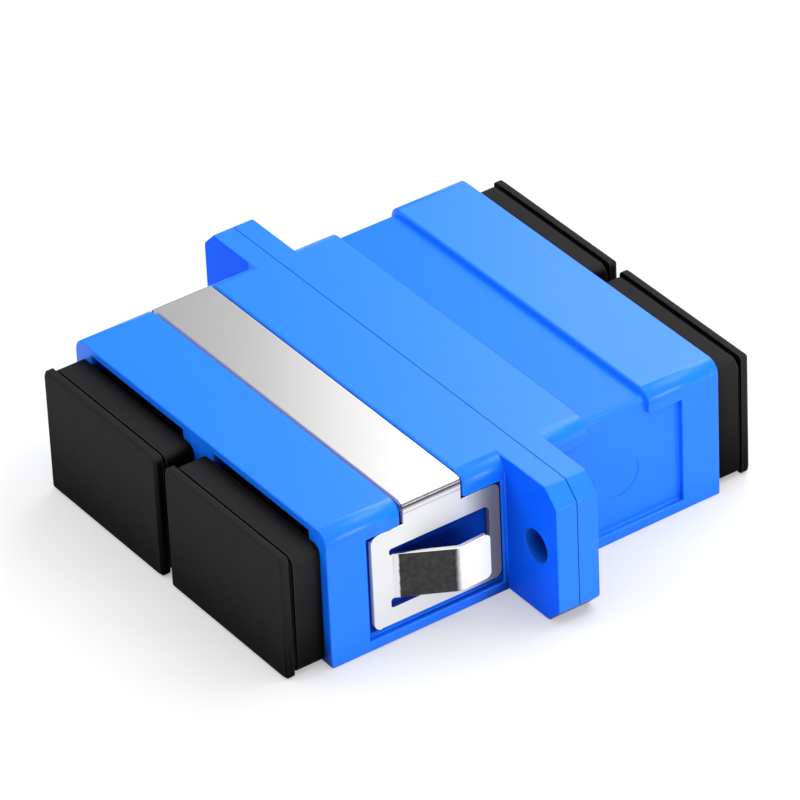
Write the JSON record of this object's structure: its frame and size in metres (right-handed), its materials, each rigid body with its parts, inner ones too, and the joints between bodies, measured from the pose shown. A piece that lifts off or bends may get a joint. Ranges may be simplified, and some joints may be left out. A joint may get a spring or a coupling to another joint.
{
  "type": "fibre adapter",
  "caption": "Duplex push-pull fibre adapter with screw flanges, a sprung panel clip and a pull-off dust cap on every plug port.",
  "frame": {"origin": "centre of the bounding box: on the housing's parting plane, midway between the two optical axes, at half of the height", "axes": "+X runs across the two channels, -Y points out of the clip end along the optical axes, +Z points out of the strap side"},
  "size_m": [0.0356, 0.0334, 0.0094],
  "materials": {
    "blue_plastic": "satin moulded",
    "spring_steel": "bright plated",
    "latch_plastic": "natural moulded",
    "zirconia": "ground",
    "black_plastic": "matt moulded"
  },
  "bodies": {
    "adapter": {"front_housing": "blue_plastic", "rear_housing": "blue_plastic", "panel_clip": "spring_steel", "front_left_latch": "latch_plastic", "front_right_latch": "latch_plastic", "rear_left_latch": "latch_plastic", "rear_right_latch": "latch_plastic", "left_sleeve": "zirconia", "right_sleeve": "zirconia"},
    "front_left_cap": {"front_left_cap": "black_plastic"},
    "front_right_cap": {"front_right_cap": "black_plastic"},
    "rear_left_cap": {"rear_left_cap": "black_plastic"},
    "rear_right_cap": {"rear_right_cap": "black_plastic"}
  },
  "joints": [
    {"name": "front_left_cap_pull", "type": "slide", "parent": "adapter", "child": "front_left_cap", "axis": [0, -1, 0], "range_m": [0, 0.012]},
    {"name": "front_right_cap_pull", "type": "slide", "parent": "adapter", "child": "front_right_cap", "axis": [0, -1, 0], "range_m": [0, 0.012]},
    {"name": "rear_left_cap_pull", "type": "slide", "parent": "adapter", "child": "rear_left_cap", "axis": [0, 1, 0], "range_m": [0, 0.012]},
    {"name": "rear_right_cap_pull", "type": "slide", "parent": "adapter", "child": "rear_right_cap", "axis": [0, 1, 0], "range_m": [0, 0.012]}
  ]
}
